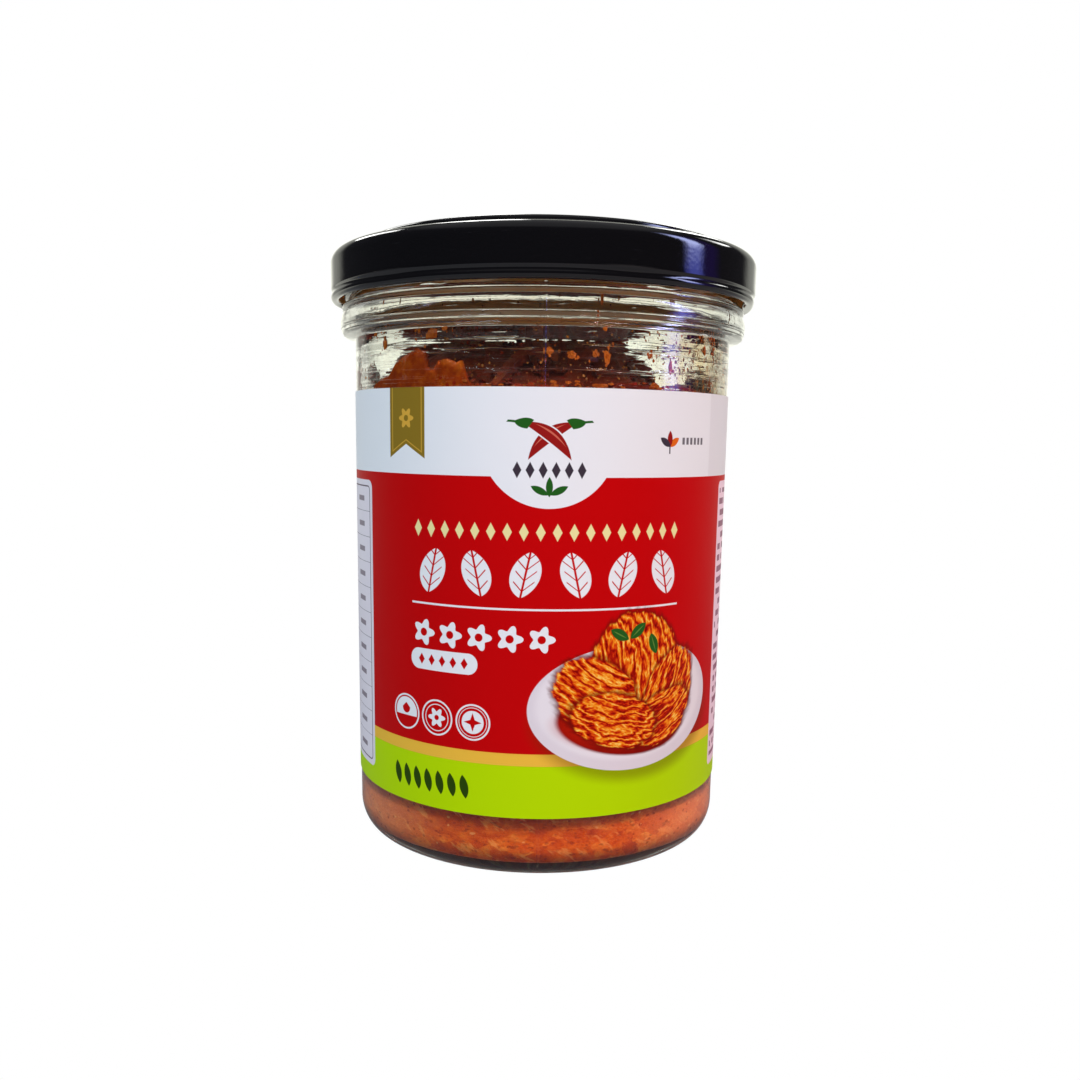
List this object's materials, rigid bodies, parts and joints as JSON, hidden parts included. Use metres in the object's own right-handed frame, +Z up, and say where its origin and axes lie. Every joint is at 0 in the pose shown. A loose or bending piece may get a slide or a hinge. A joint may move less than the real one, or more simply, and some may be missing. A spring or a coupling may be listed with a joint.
{
  "type": "kimchi jar",
  "caption": "Shut glass jar of kimchi with a black twist-off cap, a wrap-round paper label and a mound of cut cabbage showing above it.",
  "frame": {"origin": "centre of the jar's base, on the surface that it stands on", "axes": "+Z up along the jar's axis; the label's front faces -Y"},
  "size_m": [0.085, 0.085, 0.1176],
  "materials": {
    "clear_glass": "clear, faint green-grey tint, polished",
    "black_lacquer": "gloss black lacquer on pressed sheet",
    "label_paper": "semi-gloss printed paper: white, red, gold and lime bands",
    "kimchi": "wet chilli-red cut cabbage"
  },
  "bodies": {
    "root": {"jar": "clear_glass", "lid": "black_lacquer", "label": "label_paper", "kimchi": "kimchi"}
  },
  "joints": []
}
